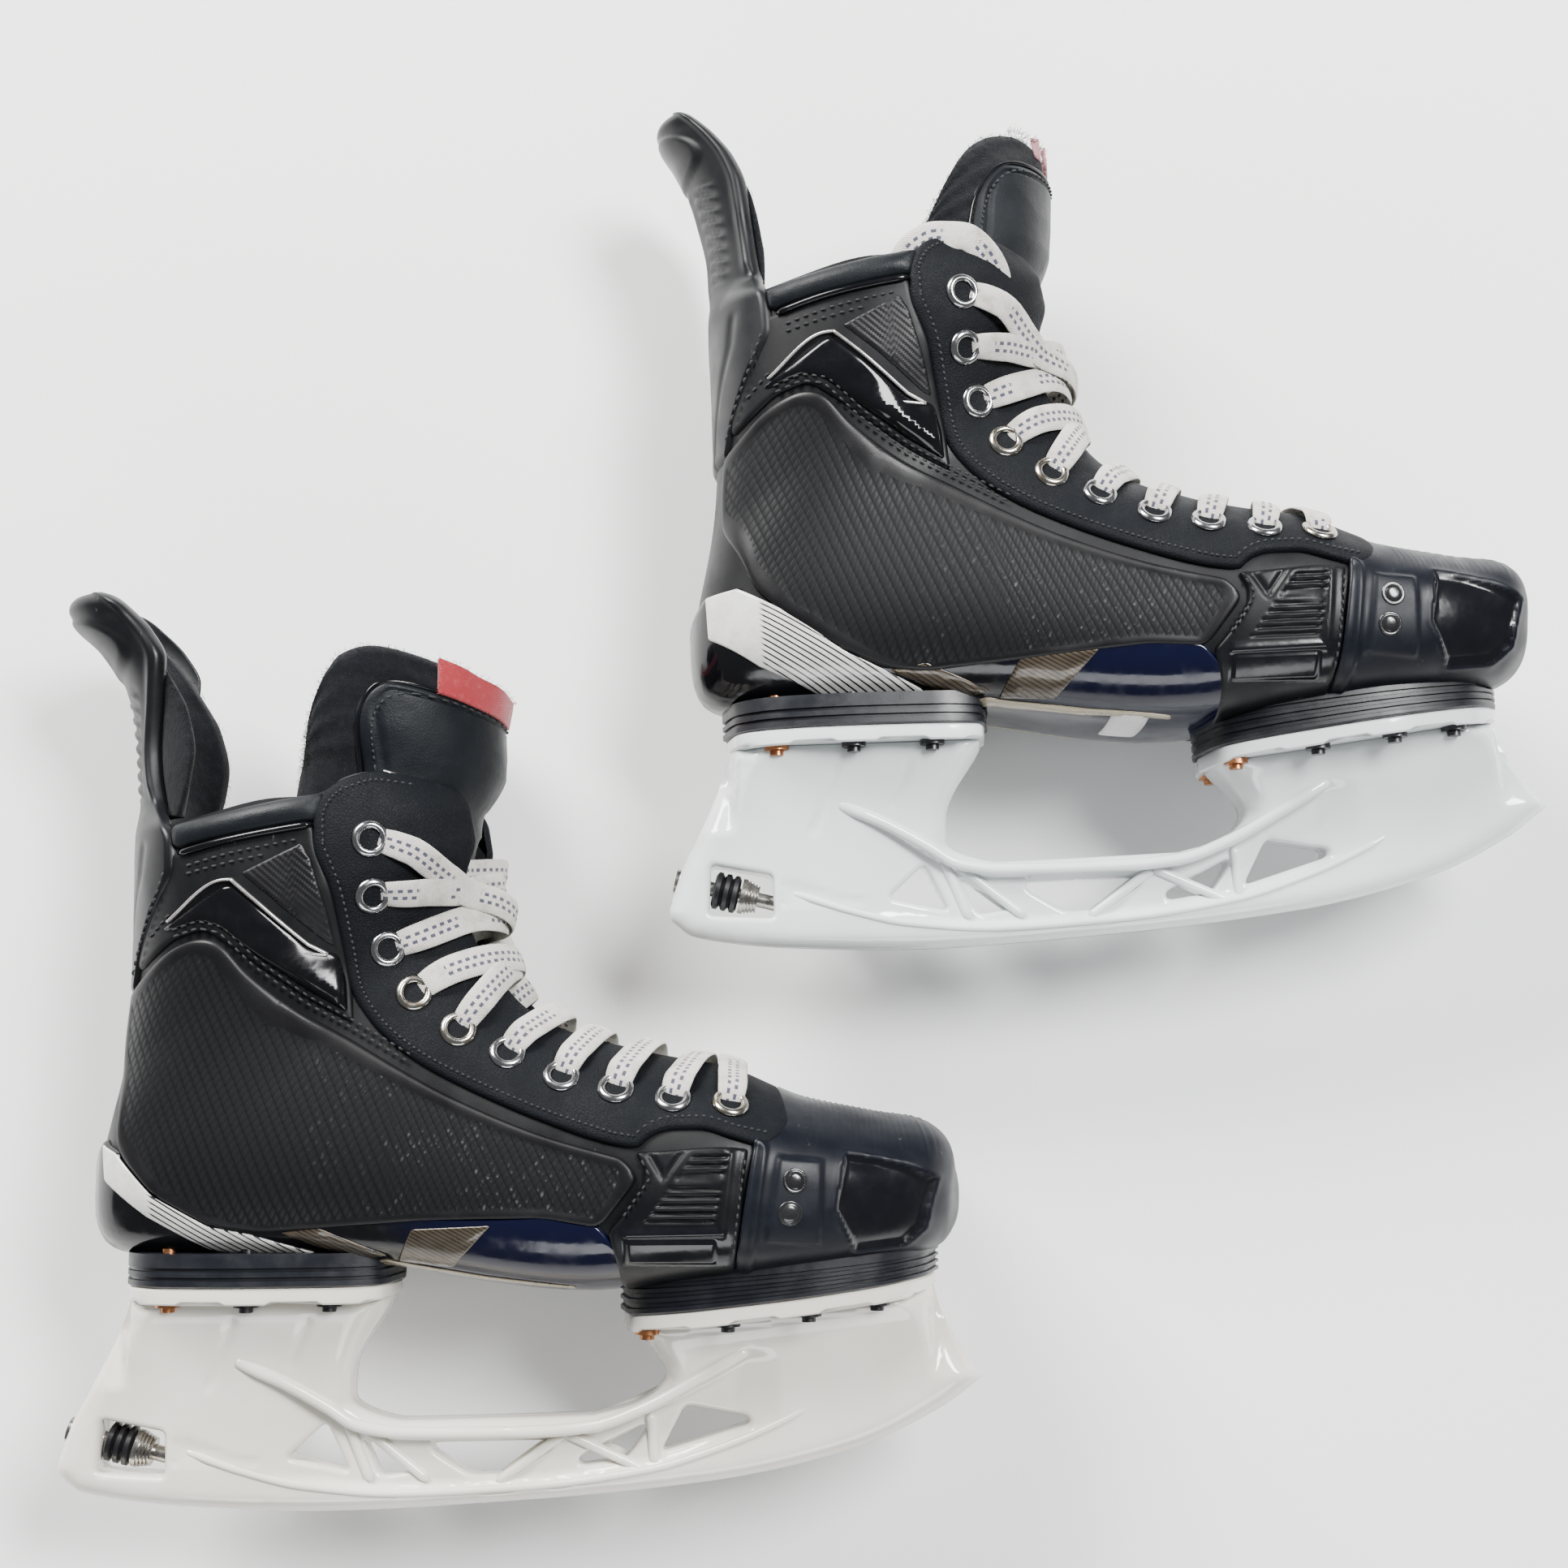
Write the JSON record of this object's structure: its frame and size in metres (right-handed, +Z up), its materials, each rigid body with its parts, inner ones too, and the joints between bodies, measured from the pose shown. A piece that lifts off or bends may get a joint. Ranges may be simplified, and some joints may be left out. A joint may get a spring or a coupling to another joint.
{
  "type": "pair of hockey skates",
  "caption": "Pair of hockey skates lying flat: laced boots with tendon guards and tongues, on open runner holders with a blade lock.",
  "frame": {"origin": "centre of the pair's box, on the floor it lies on", "axes": "+X from heel to toe, +Y from the holder to the collar, +Z up from the floor the skates lie on"},
  "size_m": [0.4926, 0.4712, 0.1033],
  "materials": {
    "shell": "dark composite",
    "panel": "carbon weave under clear film",
    "badge": "gloss black",
    "eyestay": "matte synthetic leather",
    "guard_plastic": "semi-gloss moulded polymer",
    "forefoot": "semi-gloss moulded polymer",
    "toe_cap": "matte navy-black",
    "stud": "dark, worn to brass",
    "outsole": "gloss black and navy",
    "felt": "dark felt",
    "liner": "dark microfibre on foam",
    "footbed": "dark foam",
    "tongue": "smooth vinyl face",
    "label": "woven, red",
    "lace": "flat woven, off-white",
    "eyelet": "nickel, worn",
    "riser": "black rubber",
    "holder": "gloss white",
    "copper": "copper",
    "steel_rivet": "dark",
    "lock_steel": "turned steel",
    "lock_black": "black, ribbed"
  },
  "bodies": {
    "skate_right": {"boot_shell_right": "shell", "side_panel_lateral_right": "panel", "side_panel_medial_right": "panel", "ankle_badges_right": "badge", "eyestay_lateral_right": "eyestay", "eyestay_medial_right": "eyestay", "eyelets_right": "eyelet", "forefoot_guards_right": "forefoot", "toe_cap_right": "toe_cap", "toe_cap_studs_right": "stud", "outsole_right": "outsole", "liner_right": "liner", "footbed_right": "footbed", "tongue_right": "tongue", "tendon_guard_base_right": "guard_plastic", "laces_right": "lace", "heel_riser_right": "riser", "toe_riser_right": "riser", "holder_right": "holder", "copper_rivets_right": "copper", "steel_rivets_right": "steel_rivet", "lock_bolt_right": "lock_steel"},
    "guard_right": {"tendon_guard_right": "guard_plastic", "guard_felt_right": "felt"},
    "tongue_upper_right": {"tongue_top_right": "tongue", "tongue_felt_right": "felt", "tongue_label_right": "label"},
    "lock_wheel_right": {"lock_wheel_right": "lock_black"},
    "lock_collar_right": {"lock_collar_right": "lock_steel"},
    "skate_left": {"boot_shell_left": "shell", "side_panel_lateral_left": "panel", "side_panel_medial_left": "panel", "ankle_badges_left": "badge", "eyestay_lateral_left": "eyestay", "eyestay_medial_left": "eyestay", "eyelets_left": "eyelet", "forefoot_guards_left": "forefoot", "toe_cap_left": "toe_cap", "toe_cap_studs_left": "stud", "outsole_left": "outsole", "liner_left": "liner", "footbed_left": "footbed", "tongue_left": "tongue", "tendon_guard_base_left": "guard_plastic", "laces_left": "lace", "heel_riser_left": "riser", "toe_riser_left": "riser", "holder_left": "holder", "copper_rivets_left": "copper", "steel_rivets_left": "steel_rivet", "lock_bolt_left": "lock_steel"},
    "guard_left": {"tendon_guard_left": "guard_plastic", "guard_felt_left": "felt"},
    "tongue_upper_left": {"tongue_top_left": "tongue", "tongue_felt_left": "felt"},
    "lock_wheel_left": {"lock_wheel_left": "lock_black"},
    "lock_collar_left": {"lock_collar_left": "lock_steel"}
  },
  "joints": [
    {"name": "left_skate_lift", "type": "slide", "parent": "skate_right", "child": "skate_left", "axis": [0, 0, 1], "range_m": [0, 0.15]},
    {"name": "tendon_guard_flex_right", "type": "hinge", "parent": "skate_right", "child": "guard_right", "pos_m": [-0.22373, -0.01185, 0.05169], "axis": [0, 0, 1], "range_deg": [0, 28], "stiffness_Nm_per_rad": 0.6},
    {"name": "tongue_fold_right", "type": "hinge", "parent": "skate_right", "child": "tongue_upper_right", "pos_m": [-0.10113, 0.00015, 0.05169], "axis": [0, 0, -1], "range_deg": [0, 70], "stiffness_Nm_per_rad": 0.25},
    {"name": "lock_turn_right", "type": "hinge", "parent": "skate_right", "child": "lock_wheel_right", "pos_m": [-0.22623, -0.21418, 0.05169], "axis": [0.9659, -0.2588, 0], "range_deg": [0, 540]},
    {"name": "lock_slide_right", "type": "slide", "parent": "skate_right", "child": "lock_collar_right", "axis": [0.9659, -0.2588, 0], "range_m": [0, 0.002]},
    {"name": "tendon_guard_flex_left", "type": "hinge", "parent": "skate_left", "child": "guard_left", "pos_m": [-0.03438, 0.16473, 0.05163], "axis": [0, 0, 1], "range_deg": [0, 28], "stiffness_Nm_per_rad": 0.6},
    {"name": "tongue_fold_left", "type": "hinge", "parent": "skate_left", "child": "tongue_upper_left", "pos_m": [0.08781, 0.18036, 0.05163], "axis": [0, 0, -1], "range_deg": [0, 70], "stiffness_Nm_per_rad": 0.25},
    {"name": "lock_turn_left", "type": "hinge", "parent": "skate_left", "child": "lock_wheel_left", "pos_m": [-0.03088, -0.03759, 0.05163], "axis": [0.9732, -0.23, 0], "range_deg": [0, 540]},
    {"name": "lock_slide_left", "type": "slide", "parent": "skate_left", "child": "lock_collar_left", "axis": [0.9732, -0.23, 0], "range_m": [0, 0.002]}
  ],
  "couplings": [
    {"joint": "lock_slide_right", "follows": "lock_turn_right", "m_per_rad": 0.00019894},
    {"joint": "lock_slide_left", "follows": "lock_turn_left", "m_per_rad": 0.00019894}
  ]
}
